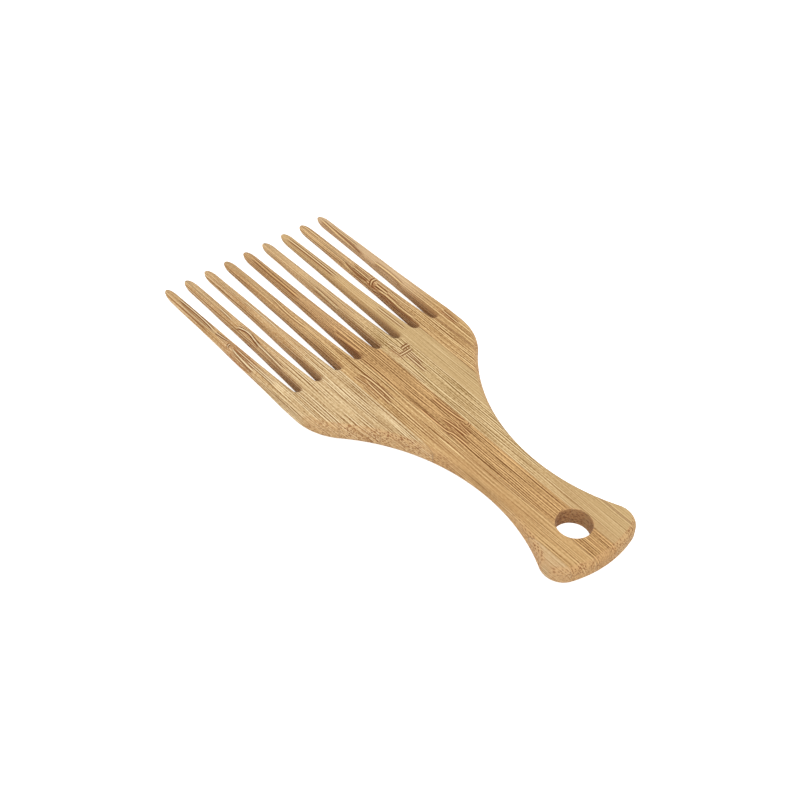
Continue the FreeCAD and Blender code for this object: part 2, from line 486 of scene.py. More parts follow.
class Graph:
    """The nodes of a new material or world, which has one shader at first."""

    def __init__(self, owner: bpy.types.Material | bpy.types.World) -> None:
        """Give the owner its nodes and find the shader.

        Args:
            owner: The new material or world.
        """
        owner.use_nodes = True
        self.owner, self.tree = owner, owner.node_tree
        self.shader = next(node for node in self.tree.nodes if node.outputs)

    def feed(self, socket: Socket, value: Value | tuple) -> None:
        """Link another node's output to a socket, or set the socket to a value.

        Args:
            socket: The input to feed.
            value: Another node's output, a number, or a tuple of numbers.
        """
        if isinstance(value, Socket):
            self.tree.links.new(value, socket)
        else:
            socket.default_value = value

    def node(self, kind: str, inputs: dict | None = None, **settings) -> bpy.types.Node:
        """Add a node.

        Args:
            kind: Blender's name for the node type.
            inputs: Socket name or number to a value or to another node's output.
            settings: The node's own properties.

        Returns:
            The node.
        """
        node = self.tree.nodes.new(kind)
        for key, value in settings.items():
            setattr(node, key, value)
        for key, value in (inputs or {}).items():
            self.feed(node.inputs[key], value)
        return node

    def math(self, operation: str, *values: Value, clamp: bool = False) -> Socket:
        """Output of one Math node on up to three sockets or numbers."""
        inputs = dict(enumerate(values))
        return self.node("ShaderNodeMath", inputs, operation=operation, use_clamp=clamp).outputs[0]

    def product(self, *values: Value) -> Socket:
        """Product of two or more sockets or numbers, from the left."""
        return reduce(lambda first, second: self.math("MULTIPLY", first, second), values)

    def fit(self, value: Value, gain: Value, shift: Value, clamp: bool = False) -> Socket:
        """Value times gain, plus shift, kept from 0 to 1 if clamp is set."""
        return self.math("MULTIPLY_ADD", value, gain, shift, clamp=clamp)

    def ease(self, value: Value, low: float, high: float, start: float = 0.0, end: float = 1.0) -> Socket:
        """Smooth change from start to end while value goes from low to high."""
        values = {"Value": value, "From Min": low, "From Max": high, "To Min": start, "To Max": end}
        return self.node("ShaderNodeMapRange", values, interpolation_type="SMOOTHSTEP").outputs[0]

    def blend(self, share: Value, first: Socket | Colour, second: Socket | Colour) -> Socket:
        """Colour between first and second, by share.

        Args:
            share: 0 for first and 1 for second.
            first: A colour, linear, or another node's output.
            second: The same.

        Returns:
            The colour.
        """
        node = self.node("ShaderNodeMix", data_type="RGBA")
        for number, value in ((0, share), (6, first), (7, second)):
            self.feed(node.inputs[number], (*value, 1.0) if isinstance(value, tuple) else value)
        return node.outputs[2]

    def stretch(self, vector: Socket, across: float, along: float) -> Socket:
        """Place scaled by across in X and Z, and by along in Y."""
        values = {0: vector, 1: (across, along, across)}
        return self.node("ShaderNodeVectorMath", values, operation="MULTIPLY").outputs[0]

    def noise(self, vector: Socket, across: float, along: float, detail: float = 1.0) -> Socket:
        """Noise from 0 to 1 whose grain is 1/across wide and 1/along long."""
        values = {"Vector": self.stretch(vector, across, along), "Scale": 1.0, "Detail": detail}
        return self.node("ShaderNodeTexNoise", values).outputs["Fac"]

    def patches(self, vector: Socket, grain: tuple, low: float, high: float, *ends: float) -> Socket:
        """Soft patches: noise of a grain, eased between low and high from 0 to 1 or between other ends."""
        return self.ease(self.noise(vector, *grain), low, high, *ends)

    def curve(self, value: Value, places: list[tuple[float, float]]) -> Socket:
        """Smooth curve through places, each a value and its height, both from 0 to 1.

        Args:
            value: Where to read the curve.
            places: The places, in order.

        Returns:
            The curve's height there.
        """
        node = self.node("ShaderNodeFloatCurve", {"Value": value})
        points = node.mapping.curves[0].points
        for place in places[2:]:
            points.new(*place)
        for point, place in zip(points, places):
            point.location = place
        node.mapping.update()
        return node.outputs[0]

    def seen(self) -> Socket:
        """1 for rays from the camera, and for mirror and glass rays, else 0.

        Returns:
            That share.
        """
        rays = self.node("ShaderNodeLightPath").outputs
        total = self.math("MAXIMUM", rays["Is Camera Ray"], rays["Is Glossy Ray"])
        return self.math("MAXIMUM", total, rays["Is Transmission Ray"])

    def dress(self, values: dict[str, Value | tuple]) -> bpy.types.Material | bpy.types.World:
        """Set the shader's sockets.

        Args:
            values: Socket name to a value or to another node's output.

        Returns:
            The owner.
        """
        for name, value in values.items():
            self.feed(self.shader.inputs[name], value)
        return self.owner


@dataclass(frozen=True)
class BambooFinish:
    """Sanded bamboo as a solid pattern: fibres and bundles run along Y, so cut ends show them as dots.

    contrast is the strength of the lengthwise lines, and stain that of the reddish streaks between knots.
    tooth_share is how far the tooth takes its own colour. The lines weaken down the handle, between the two
    places in calm, to the share at its end.
    """

    tone: Tone
    seed: float
    knots: tuple[Knot, ...]
    strands: tuple[Strand, ...]
    contrast: float = 1.0
    stain: float = 0.0
    roughness: float = 0.6
    roughness_range: float = 0.12
    shine: float = 0.25
    relief: float = 0.05
    line_colour: Colour = (104, 58, 24)
    rim_colour: Colour = (127, 74, 29)
    stain_colour: Colour = (150, 84, 40)
    end_colour: Colour = (216, 172, 120)
    pore_colour: Colour = (150, 100, 60)
    # The colour below darkens the slot and hole walls: partly saw burn, partly painted shade.
    sawn_and_shade_colour: Colour = (166, 116, 76)
    tooth_colour: Colour = (212, 172, 123)
    tooth_share: float = 0.45
    calm: tuple[float, float, float] = (-82.0, -45.0, 0.6)


class BambooGraph(Graph):
    """The pattern of one strip, laid down in steps that change the colour and the height so far.

    Lengths are in millimetres. A grain is a rate across and one along the fibres, with the detail where it
    isn't 1, and an edge is the two values between which something fades. Patches are a grain, an edge and
    the strengths at its ends.
    """

    # Knots and the place across the fibres.
    KNOT_HEART = 0.1
    SWIRL_GRAIN, SWIRL_WIDTH = (0.3, 0.14), 3.0
    WANDER_GRAIN, WANDER_WIDTH, SEED_STEP = (0.1, 0.022, 2.0), 1.2, 31.7
    WALL_SLANT, WALL_NORMAL, WALL_FOLD = 0.8, 0.65, 7 / 3
    # Waves by rate, wobble and weight, layers of noise by grain and weight, and single drawn lines.
    WAVES = ((1.4, 1.3, 0.3), (0.92, 1.0, 0.16))
    WOBBLE_GRAIN = (0.8, 0.035)
    BUNCHES = ((0.45, 0.05), 0.32, 0.66, 0.2, 1.6)
    LAYERS = ((2.2, 0.06, 0.9), (1.3, 0.04, 0.35), (2.6, 1.1, 0.6))
    BROAD_GRAIN, BROAD_WEIGHT = (0.3, 0.008), 0.12
    DRAWN_RATE, DRAWN_EDGE, DRAWN_WEIGHT, DRAWN_DEPTH = 0.6, (0.03, 0.12), 0.25, 0.5
    DRAWN_PATCHES = ((0.6, 0.04), 0.42, 0.56)
    # Colours by grain, and the tooth, from its root on.
    DARK_GAIN, PALE_GAIN = 1.9, 2.0
    TOOTH_EDGE, TOOTH_GAIN = (-2.0, 24.0), 0.9
    STREAKS, STREAK_SHARE = ((0.9, 0.02), 0.48, 0.62), 0.55
    STAIN_LEVEL, STAIN_GAIN = 0.85, 1.5
    # Strands: the fade is a share of their length, and cores and rims are multiples of their half width.
    UPPER_EDGE, STRAND_MARGIN, STRAND_FADE = (3.4, 4.0), 0.5, 0.15
    CORE_EDGE, RIM_PLACE, RIM_EDGE, STRAND_RELIEF = (0.5, 1.2), 1.9, (0.6, 1.5), 0.5
    # Cut ends, which stop short of the slots.
    CUT_NORMAL, CUT_EDGE, END_SHARE = (0.06, 0.3), (-4.0, -2.0), 0.5
    BUNDLE_GRAIN, BUNDLE_EDGE, BUNDLE_DEPTH = (2.1, 0.6), (0.22, 0.55), 0.8
    BUNDLE_CLOUDS = ((0.22, 0.22, 2.0), 0.38, 0.6, 0.45, 1.0)
    # Sawn and bored walls, darkened partly for the burn of saw and drill and partly as painted shade.
    WALL_STEEPNESS, SAWN_SHARE = (0.25, 0.75), 0.5
    SLOT_START, SLOT_FADE, SLOT_REST = (-2.5, -1.0), (3.0, 26.0), 0.1
    BORE_EDGE, FLECKS, FLECK_SHARE = (0.1, 0.5), ((1.3, 0.5), 0.5, 0.66), 0.55

    def __init__(self, name: str, finish: BambooFinish, board: Board) -> None:
        """Lay down all steps.

        Args:
            name: Name of the material.
            finish: The strip's finish.
            board: The board, for its thickness and the places of its slots and hole.
        """
        super().__init__(bpy.data.materials.new(name))
        self.finish, self.board = finish, board
        frame = self.node("ShaderNodeTexCoord").outputs
        scaled = {0: frame["Object"], 3: 1 / MM}
        self.place = self.node("ShaderNodeVectorMath", scaled, operation="SCALE").outputs[0]
        self.x, self.y, self.z = self.node("ShaderNodeSeparateXYZ", {0: self.place}).outputs
        self.normal = self.node("ShaderNodeSeparateXYZ", {0: frame["Normal"]}).outputs
        self.tooth = self._from_roots(self.TOOTH_EDGE)
        self.knot_stain, curl = self._knots()
        self.across = self._across(curl)
        self.fibre = self.node("ShaderNodeCombineXYZ", {"X": self.across, "Y": self.y}).outputs[0]
        self.grain, line = self._grain()
        self.height = self.fit(line, -self.DRAWN_DEPTH, self.grain)
        self._fibre_colour()
        self._strands()
        self._cut_ends()
        self._sawn_and_shaded_walls()
        relief = {"Strength": 1.0, "Distance": finish.relief * MM, "Height": self.height}
        spread = finish.roughness_range
        self.dress({
            "Base Color": self.colour,
            "Normal": self.node("ShaderNodeBump", relief).outputs[0],
            "Roughness": self.fit(self.height, -spread, finish.roughness + spread / 2),
            "Specular IOR Level": finish.shine,
        })

    def _from_roots(self, edge: tuple[float, float], start: float = 0.0, end: float = 1.0) -> Socket:
        """Smooth change from start to end between two places counted from the roots of the teeth."""
        return self.ease(self.y, *(self.board.roots_y + place for place in edge), start, end)

    def _tint(self, share: Value, colour: Colour) -> None:
        """Blend the colour so far with another, by share."""
        self.colour = self.blend(share, self.colour, linear(colour))

    def _knots(self) -> tuple[Value, Value]:
        """Add up the knots, each an oval that fades from its heart to its reach.

        Returns:
            How much they stain, and how far they push the fibres aside.
        """
        stain, curl = 0.0, 0.0
        for knot in self.finish.knots:
            across = self.math("DIVIDE", self.math("SUBTRACT", self.x, knot.x), knot.half_x)
            along = self.math("DIVIDE", self.math("SUBTRACT", self.y, knot.y), knot.half_y)
            square = self.fit(along, along, self.product(across, across))
            near = self.ease(square, self.KNOT_HEART, 1.0, 1.0, 0.0)
            stain = self.math("MAXIMUM", stain, self.product(near, knot.stain))
            curl = self.fit(near, knot.curl, curl)
        swirl = self.fit(self.noise(self.place, *self.SWIRL_GRAIN), self.SWIRL_WIDTH, -self.SWIRL_WIDTH / 2)
        return stain, self.product(curl, swirl)

    def _across(self, curl: Value) -> Socket:
        """Place across the fibres: X with a slow wander and the curl.

        On a side wall the depth below the upper face is added, outwards, so that a wall shows lines along
        it. The depth folds back to nothing low on the wall, to meet the underside.

        Args:
            curl: How far knots push the fibres aside.

        Returns:
            The place.
        """
        thickness, side, slant = self.board.thickness, self.WALL_NORMAL, self.WALL_SLANT
        above = self.math("SUBTRACT", self.z, thickness)
        depth = self.math("MAXIMUM", above, self.product(self.z, -self.WALL_FOLD))
        leaning = self.fit(depth, self.ease(self.normal["X"], -side, side, slant, -slant), self.x)
        start = self.finish.seed * self.SEED_STEP + slant * thickness
        wander = self.fit(self.noise(self.place, *self.WANDER_GRAIN), self.WANDER_WIDTH, start)
        return self.math("ADD", self.math("ADD", leaning, wander), curl)

    def _grain(self) -> tuple[Socket, Socket]:
        """Lengthwise lines: sines that wobble and come in bunches, layers of long noise, and drawn lines.

        Returns:
            The grain, below 0 for dark and above it for pale, and the share of a drawn line in it.
        """
        fibre, grain = self.fibre, 0.0
        for rate, wobble, weight in self.WAVES:
            turn = self.product(self.across, math.tau * rate)
            turn = self.fit(self.noise(fibre, *self.WOBBLE_GRAIN), math.tau * wobble, turn)
            grain = self.fit(self.math("SINE", turn), weight, grain)
        grain = self.product(grain, self.patches(fibre, *self.BUNCHES))
        for rate, along, weight in self.LAYERS:
            layer = self.math("SUBTRACT", self.noise(fibre, rate, along, 0.0), 0.5)
            grain = self.fit(layer, weight, grain)
        values = {"W": self.across, "Scale": self.DRAWN_RATE}
        near = self.node("ShaderNodeTexVoronoi", values, voronoi_dimensions="1D").outputs["Distance"]
        line = self.ease(near, *self.DRAWN_EDGE, 1.0, 0.0)
        line = self.product(line, self.patches(fibre, *self.DRAWN_PATCHES))
        grain = self.fit(line, -self.DRAWN_WEIGHT, grain)
        contrast = self.finish.contrast
        strength = self.fit(self.tooth, self.TOOTH_GAIN * contrast, contrast)
        strength = self.product(strength, self.ease(self.y, *self.finish.calm, 1.0))
        broad = self.math("SUBTRACT", self.noise(fibre, *self.BROAD_GRAIN), 0.5)
        return self.fit(broad, self.BROAD_WEIGHT, self.product(grain, strength)), line

    def _fibre_colour(self) -> None:
        """Colour the fibres dark, body or pale by grain, then lay on the tooth's colour and the stains."""
        finish, tone = self.finish, self.finish.tone
        lit = self.fit(self.grain, self.DARK_GAIN, 1.0, True)
        self.colour = self.blend(lit, linear(tone.dark), linear(tone.body))
        self._tint(self.math("MULTIPLY", self.grain, self.PALE_GAIN, clamp=True), tone.pale)
        self._tint(self.product(self.tooth, finish.tooth_share), finish.tooth_colour)
        streak, share = self.patches(self.fibre, *self.STREAKS), self.STREAK_SHARE
        knots = self.product(self.knot_stain, self.fit(streak, share, 1 - share))
        stain = self.math("MAXIMUM", self.product(streak, finish.stain), knots)
        taken = self.fit(self.grain, -self.STAIN_GAIN, self.STAIN_LEVEL, True)
        self._tint(self.product(stain, taken), finish.stain_colour)

    def _beside(self, strand: Strand) -> tuple[Socket, Socket]:
        """Find a strand: a smooth curve through its places.

        Args:
            strand: The strand.

        Returns:
            Distance from the strand's middle, and how far it shows, which fades at its ends.
        """
        run, side = (self.x, self.y) if strand.across else (self.y, self.x)
        runs, sides = zip(*(place if strand.across else place[::-1] for place in strand.places))
        low, high = min(sides) - self.STRAND_MARGIN, max(sides) + self.STRAND_MARGIN
        length = runs[-1] - runs[0]
        way = self.math("DIVIDE", self.math("SUBTRACT", run, runs[0]), length)
        places = [((r - runs[0]) / length, (s - low) / (high - low)) for r, s in zip(runs, sides)]
        off = self.math("SUBTRACT", side, self.fit(self.curve(way, places), high - low, low))
        fade = self.STRAND_FADE
        shown = self.product(self.ease(way, 0.0, fade), self.ease(way, 1.0 - fade, 1.0, 1.0, 0.0))
        return self.math("ABSOLUTE", off), shown

    def _strands(self) -> None:
        """Draw the strands over the lines, on the upper half of the board: dark rims, then pale cores."""
        pale, dark = 0.0, 0.0
        upper = self.ease(self.z, *self.UPPER_EDGE)
        for strand in self.finish.strands:
            off, shown = self._beside(strand)
            shown = self.product(shown, upper)
            width = strand.half_width
            core = self.ease(off, *(edge * width for edge in self.CORE_EDGE), 1.0, 0.0)
            off = self.math("ABSOLUTE", self.math("SUBTRACT", off, self.RIM_PLACE * width))
            rim = self.ease(off, *(edge * width for edge in self.RIM_EDGE), 1.0, 0.0)
            pale = self.math("MAXIMUM", pale, self.product(core, strand.core, shown))
            dark = self.math("MAXIMUM", dark, self.product(rim, strand.rim, shown))
        self._tint(dark, self.finish.rim_colour)
        self._tint(pale, self.finish.tone.pale)
        self.height = self.fit(self.math("SUBTRACT", pale, dark), self.STRAND_RELIEF, self.height)

    def _cut_ends(self) -> None:
        """Lay brown dots in paler wood, the bundles cut across, where the surface faces along the fibres."""
        cut = self.ease(self.math("ABSOLUTE", self.normal["Y"]), *self.CUT_NORMAL)
        cut = self.product(cut, self._from_roots(self.CUT_EDGE, 1.0, 0.0))
        values = {"Vector": self.stretch(self.place, *self.BUNDLE_GRAIN), "Scale": 1.0}
        near = self.node("ShaderNodeTexVoronoi", values).outputs["Distance"]
        dots = self.ease(near, *self.BUNDLE_EDGE, 1.0, 0.0)
        clouded = self.product(dots, self.patches(self.place, *self.BUNDLE_CLOUDS))
        ground = self.blend(self.END_SHARE, self.colour, linear(self.finish.end_colour))
        ends = self.blend(clouded, ground, linear(self.finish.pore_colour))
        self.colour = self.blend(cut, self.colour, ends)
        self.height = self.fit(dots, self.product(cut, -self.BUNDLE_DEPTH), self.height)

    def _sawn_and_shaded_walls(self) -> None:
        """Darken the walls in the slots and the hole: partly the burn of saw and drill, partly painted shade
        of these narrow hollows, strongest at the slot roots and fading along the teeth.
        """
        board = self.board
        wall = self.ease(self.math("ABSOLUTE", self.normal["Z"]), *self.WALL_STEEPNESS, 1.0, 0.0)
        inner = self.math("LESS_THAN", self.math("ABSOLUTE", self.x), -board.first_tooth_x)
        wall = self.product(wall, inner)
        fade = self._from_roots(self.SLOT_FADE, 1.0, self.SLOT_REST)
        slots = self.product(self._from_roots(self.SLOT_START), fade)
        plan = self.node("ShaderNodeCombineXYZ", {"X": self.x, "Y": self.y}).outputs[0]
        values = {0: plan, 1: (0.0, board.hole_y, 0.0)}
        reach = self.node("ShaderNodeVectorMath", values, operation="DISTANCE").outputs["Value"]
        bored = self.ease(reach, *(board.hole_radius + past for past in self.BORE_EDGE), 1.0, 0.0)
        # Painted shade in the slots and the hole, mixed with the burn of saw and drill.
        sawn_and_shade = self.product(wall, self.math("MAXIMUM", slots, bored), self.SAWN_SHARE)
        self._tint(sawn_and_shade, self.finish.sawn_and_shade_colour)
        flecks = self.product(wall, bored, self.patches(self.place, *self.FLECKS), self.FLECK_SHARE)
        self._tint(flecks, self.finish.line_colour)


@dataclass(frozen=True)
class GlueFinish:
    """Set wood glue, a thin brown line between the strips, clouded a little along the line."""

    colour: Colour = (180, 140, 94)
    dark_share: float = 0.72
    roughness: float = 0.45
    cloud_grain: tuple[float, float, float] = (900.0, 60.0, 3.0)

    def material(self) -> bpy.types.Material:
        """Build the material.

        Returns:
            The material.
        """
        graph = Graph(bpy.data.materials.new("set_glue"))
        place = graph.node("ShaderNodeTexCoord").outputs["Object"]
        cloud = graph.noise(place, *self.cloud_grain)
        light = linear(self.colour)
        dark = tuple(channel * self.dark_share for channel in light)
        return graph.dress({"Base Color": graph.blend(cloud, dark, light), "Roughness": self.roughness})


@dataclass
class Strip:
    """One bamboo strip with its tooth, and its second piece where the waist or the hole cuts it.

    Rows bend towards the slots' rounds over slot_bend, and towards the hole's round over the two lengths of
    hole_bend, below and above it. The hole's round is read up to hole_margin inside its radius. An end that
    is narrower than narrow closes to a line.
    """

    board: Board
    teeth: Teeth
    index: int
    station_step: float = 0.55
    end_zone: float = 3.0
    end_stations: int = 14
    side_columns: int = 9
    tooth_columns: int = 31
    tip_stations: int = 14
    search_steps: int = 40000
    narrow: float = 0.01
    slot_bend: float = 5.0
    hole_bend: tuple[float, float] = (7.0, 10.0)
    hole_margin: float = 0.1

    def __post_init__(self) -> None:
        """Find the strip's two sides and the columns of points between them.

        Columns stand close together at the tooth's walls, by a cosine, and beside the tooth at the glue
        lines, by a square law.
        """
        board, last = self.board, self.board.tooth_count - 1
        self.name = f"strip_{self.index + 1}"
        self.left, self.right = -board.head_half_width, board.head_half_width
        if self.index:
            self.left = board.joint_x(self.index - 1) + board.glue / 2
        if self.index < last:
            self.right = board.joint_x(self.index) - board.glue / 2
        root_left, root_right = self.left, self.right
        near = np.linspace(0, 1, self.side_columns)[:-1] ** 2
        before = after = np.array([])
        if self.index:
            root_left = board.slot_x(self.index - 1) + board.slot_half_width
            before = self.left + (root_left - self.left) * near
        if self.index < last:
            root_right = board.slot_x(self.index) - board.slot_half_width
            after = root_right + (self.right - root_right) * (1 - near[::-1])
        turn = np.linspace(0, np.pi, self.tooth_columns)
        tooth = root_left + (root_right - root_left) * (1 - np.cos(turn)) / 2
        self.columns = np.concatenate([before, tooth, after])
        self.tooth_start = self.side_columns - 1 if self.index else 0
        self.tooth_end = self.tooth_start + self.tooth_columns

    def _sides(self, y: np.ndarray) -> tuple[np.ndarray, np.ndarray]:
        """The strip's left and right side at y: its glue lines, the outline or the hole, whichever is nearer.

        Args:
            y: Places along the board.

        Returns:
            X of the left side and of the right side, with left above right where the strip has no wood.
        """
        board = self.board
        half = board.half_width(y)
        left, right = np.maximum(self.left, -half), np.minimum(self.right, half)
        bite = np.sqrt(np.maximum(board.hole_radius ** 2 - (y - board.hole_y) ** 2, 0))
        if self.left > 0:
            left = np.maximum(left, bite)
        elif self.right < 0:
            right = np.minimum(right, -bite)
        return left, right

    def _meets(self, side: float) -> np.ndarray:
        """Places along the board where its half width is side, between fine steps by straight lines.

        Args:
            side: The half width to look for.

        Returns:
            The places, from the handle's end on.
        """
        y = np.linspace(self.board.end_y, self.board.roots_y, self.search_steps + 1)
        gap = self.board.half_width(y) - side
        change = np.nonzero(gap[:-1] * gap[1:] < 0)[0]
        return y[change] - gap[change] * (y[change + 1] - y[change]) / (gap[change + 1] - gap[change])

    def _corners(self) -> np.ndarray:
        """Places along the board where a glue line of the strip meets the outline or the hole.

        Returns:
            The places, each once, from the handle's end on.
        """
        found = []
        for side in (abs(self.left), abs(self.right)):
            found.append(self._meets(side))
            if side < self.board.hole_radius:
                reach = math.sqrt(self.board.hole_radius ** 2 - side ** 2)
                found.append(self.board.hole_y + np.array([-reach, reach]))
        return np.unique(np.concatenate(found))

    def _spans(self) -> list[tuple[float, float]]:
        """Stretches along the board where the strip has wood, from the slot roots downwards.

        Returns:
            Lowest and highest place of each stretch.
        """
        board = self.board
        if self.left < 0 < self.right:
            low, high = board.hole_y - board.hole_radius, board.hole_y + board.hole_radius
            return [(high, board.roots_y), (board.end_y, low)]
        meets = [float(y) for y in self._meets(min(abs(self.left), abs(self.right)))]
        spans = [(meets[-1], board.roots_y)]
        if len(meets) > 1:
            spans.append((meets[0], meets[1]))
        return spans

    def _stations(self, start: float, end: float) -> np.ndarray:
        """Places of the sections of a stretch: close together at its two ends by a square law, else even.

        Args:
            start: Lowest place of the stretch.
            end: Highest place of the stretch.

        Returns:
            The places, from start to end.
        """
        zone = min(self.end_zone, (end - start) / 3)
        near = zone * np.linspace(0, 1, self.end_stations) ** 2
        corners = [c for c in self._corners() if start < c < end]
        marks = [start + zone, *(c for c in corners if start + zone < c < end - zone), end - zone]
        parts = [start + near, end - near, corners]
        for low, high in zip(marks, marks[1:]):
            parts.append(np.linspace(low, high, max(int((high - low) / self.station_step), 1) + 1))
        return np.unique(np.round(np.concatenate(parts), 6))

    def body(self, start: float, end: float) -> tuple[np.ndarray, np.ndarray]:
        """Upper and lower skin of one stretch of the strip.

        Columns keep their share of the width between the two sides. A row is level across the strip, but
        bends towards the round of the hole or of a slot's root, by the square of its nearness.

        Args:
            start: Lowest place of the stretch.
            end: Highest place of the stretch.

        Returns:
            Points of the upper and of the lower skin, each of rows by columns by three.
        """
        board = self.board
        rows = self._stations(start, end)
        left, right = self._sides(rows)
        if left[0] > right[0] or start > board.end_y and right[0] - left[0] < self.narrow:
            left[0] = right[0] = (left[0] + right[0]) / 2
        if end < board.roots_y and right[-1] - left[-1] < self.narrow:
            left[-1] = right[-1] = (left[-1] + right[-1]) / 2
        share = (self.columns - self.left) / (self.right - self.left)
        x = left[:, None] + (right - left)[:, None] * share
        y = np.repeat(rows[:, None], len(share), 1)
        if self.left < 0 < self.right:
            reach = board.hole_radius - self.hole_margin
            bite = board.hole_radius - np.sqrt(board.hole_radius ** 2 - np.clip(x, -reach, reach) ** 2)
            below, above = self.hole_bend
            if start > board.hole_y:
                y = y - bite * np.maximum(1 - (y - start) / above, 0) ** 2
            else:
                y = y + bite * np.maximum(1 - (end - y) / below, 0) ** 2
        if end >= board.roots_y:
            dip = np.zeros_like(x)
            for index in (self.index - 1, self.index):
                off = np.abs(x - board.slot_x(index))
                dip = np.maximum(dip, np.sqrt(np.maximum(board.slot_half_width ** 2 - off ** 2, 0)))
            y = y - dip * np.maximum(1 - (end - y) / self.slot_bend, 0) ** 2
        half = board.half_thickness(x, y)
        middle = board.thickness / 2
        return np.stack([x, y, middle + half], 2), np.stack([x, y, middle - half], 2)

    def build(self) -> list[tuple[bpy.types.Object, str]]:
        """Make the strip's pieces.

        Returns:
            Each piece with the name of the node that it stands for.
        """
        node = f"bamboo_{self.name}"
        made = []
        for number, (start, end) in enumerate(self._spans()):
            shell = Shell()
            upper, lower = self.body(start, end)
            shell.sleeve(upper, lower)
            shell.wall(upper[0], lower[0])
            if number:
                shell.wall(upper[-1], lower[-1])
            else:
                first, last = self.tooth_start, self.tooth_end
                shell.wall(upper[-1, :first + 1], lower[-1, :first + 1])
                shell.wall(upper[-1, last - 1:], lower[-1, last - 1:])
                self._tooth(shell)
            suffix = "_handle_end" if number else ""
            made.append((shell.piece(self.name + suffix), node + suffix))
        return made

    def _tooth(self, shell: Shell) -> None:
        """Add the skin and the two walls of the strip's tooth.

        Its sections stand evenly along the shaft and follow a sine into the nose.

        Args:
            shell: The shell of the strip.
        """
        roots = self.columns[self.tooth_start:self.tooth_end]
        spread = 2 * (roots - roots[0]) / (roots[-1] - roots[0]) - 1
        length, nose = self.board.tooth_length, self.teeth.nose_length
        shaft = np.linspace(0, length - nose, int((length - nose) / self.station_step) + 1)
        tip = length - nose + nose * np.sin(np.linspace(0, np.pi / 2, self.tip_stations + 1)[1:])
        upper, lower = self.teeth.surface(self.index, np.concatenate([shaft, tip]), spread)
        shell.sleeve(upper, lower)


@dataclass
class Pick:
    """The whole pick: nine strips and the glue between them."""

    frame: dict
    board: Board = field(default_factory=Board)

    def build(self) -> None:
        """Make every strip, put it on the body, and dress the glue."""
        teeth = Teeth(self.board)
        for index, finish in enumerate(STRIP_FINISHES):
            strip = Strip(self.board, teeth, index)
            material = BambooGraph(f"bamboo_{strip.name}", finish, self.board).owner
            for piece, node in strip.build():
                piece.data.materials.append(material)
                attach(piece, "root")
                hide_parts(node)
                log.info("%s stands for %s: %d faces", piece.name, node, len(piece.data.polygons))
        glue = GlueFinish().material()
        for name, node in self.frame["nodes"].items():
            if name.startswith("glue_line"):
                node.data.materials.clear()
                node.data.materials.append(glue)
                log.info("%s keeps its solid", name)


